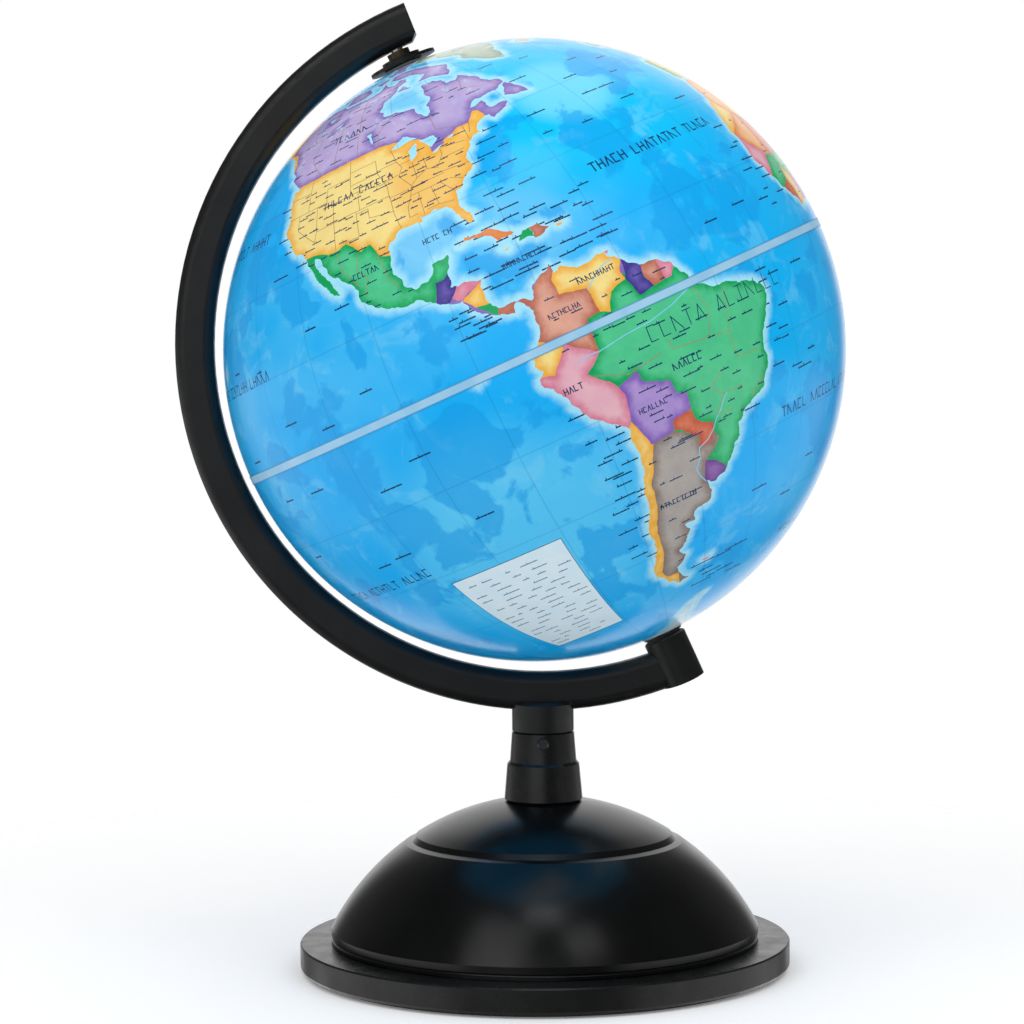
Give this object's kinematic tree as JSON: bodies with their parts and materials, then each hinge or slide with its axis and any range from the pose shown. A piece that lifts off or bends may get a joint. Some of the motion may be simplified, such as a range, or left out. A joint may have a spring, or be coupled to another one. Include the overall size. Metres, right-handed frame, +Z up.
{
  "type": "desktop globe on stand",
  "caption": "Desktop globe: hollow printed ball turning on a tilted axis in a C-shaped meridian arm, with a time dial at the pole, on a short post and a weighted domed base.",
  "frame": {"origin": "centre of the felt pad's underside, on the vertical axis of the post", "axes": "+Z up; the meridian arm lies in the XZ plane and opens towards +X; the lock button faces -Y, the side the map view is seen from"},
  "size_m": [0.2154, 0.2, 0.3117],
  "materials": {
    "printed_film": "glossy printed map film: blue seas, coloured countries",
    "white_plastic": "matte moulded shell, hidden under the film",
    "silver_tape": "satin silver-grey tape",
    "nylon": "natural nylon",
    "dark_nylon": "black nylon",
    "dial_black": "satin black with pale hour marks",
    "arm_black": "satin moulded black",
    "post_black": "satin moulded black",
    "spacer_bronze": "dull dark bronze",
    "button_black": "satin moulded black",
    "dome_black": "smooth semi-gloss black",
    "flange_black": "fine-grained matte black",
    "hidden_black": "plain moulded black",
    "bright_steel": "bright drawn steel",
    "raw_steel": "blued sheet steel",
    "felt": "dark self-adhesive felt"
  },
  "bodies": {
    "stand": {"meridian_arm": "arm_black", "north_pin": "bright_steel", "pin_spacer": "spacer_bronze", "south_pin": "bright_steel", "thrust_washer": "dark_nylon", "neck": "post_black", "collar": "post_black", "neck_washer": "bright_steel", "neck_nut": "hidden_black", "base_dome": "dome_black", "base_flange": "flange_black", "ballast_plate": "raw_steel", "bottom_cover": "hidden_black", "cover_screws": "bright_steel", "felt_pad": "felt"},
    "globe": {"north_shell": "white_plastic", "south_shell": "white_plastic", "north_map_film": "printed_film", "south_map_film": "printed_film", "equator_joiner": "white_plastic", "equator_tape": "silver_tape", "north_bush": "nylon", "south_bush": "dark_nylon"},
    "time_dial": {"time_dial": "dial_black"},
    "lock_button": {"lock_button": "button_black", "lock_spring": "bright_steel"}
  },
  "joints": [
    {"name": "globe_spin", "type": "hinge", "parent": "stand", "child": "globe", "pos_m": [-0.00175, 0, 0.2], "axis": [-0.4067, 0, 0.9135], "continuous": true},
    {"name": "dial_turn", "type": "hinge", "parent": "globe", "child": "time_dial", "pos_m": [-0.04316, 0, 0.293], "axis": [-0.4067, 0, 0.9135], "continuous": true},
    {"name": "lock_button_press", "type": "slide", "parent": "stand", "child": "lock_button", "axis": [0, 1, 0], "range_m": [0, 0.0014], "stiffness_N_per_m": 500, "springref_m": -0.002}
  ]
}
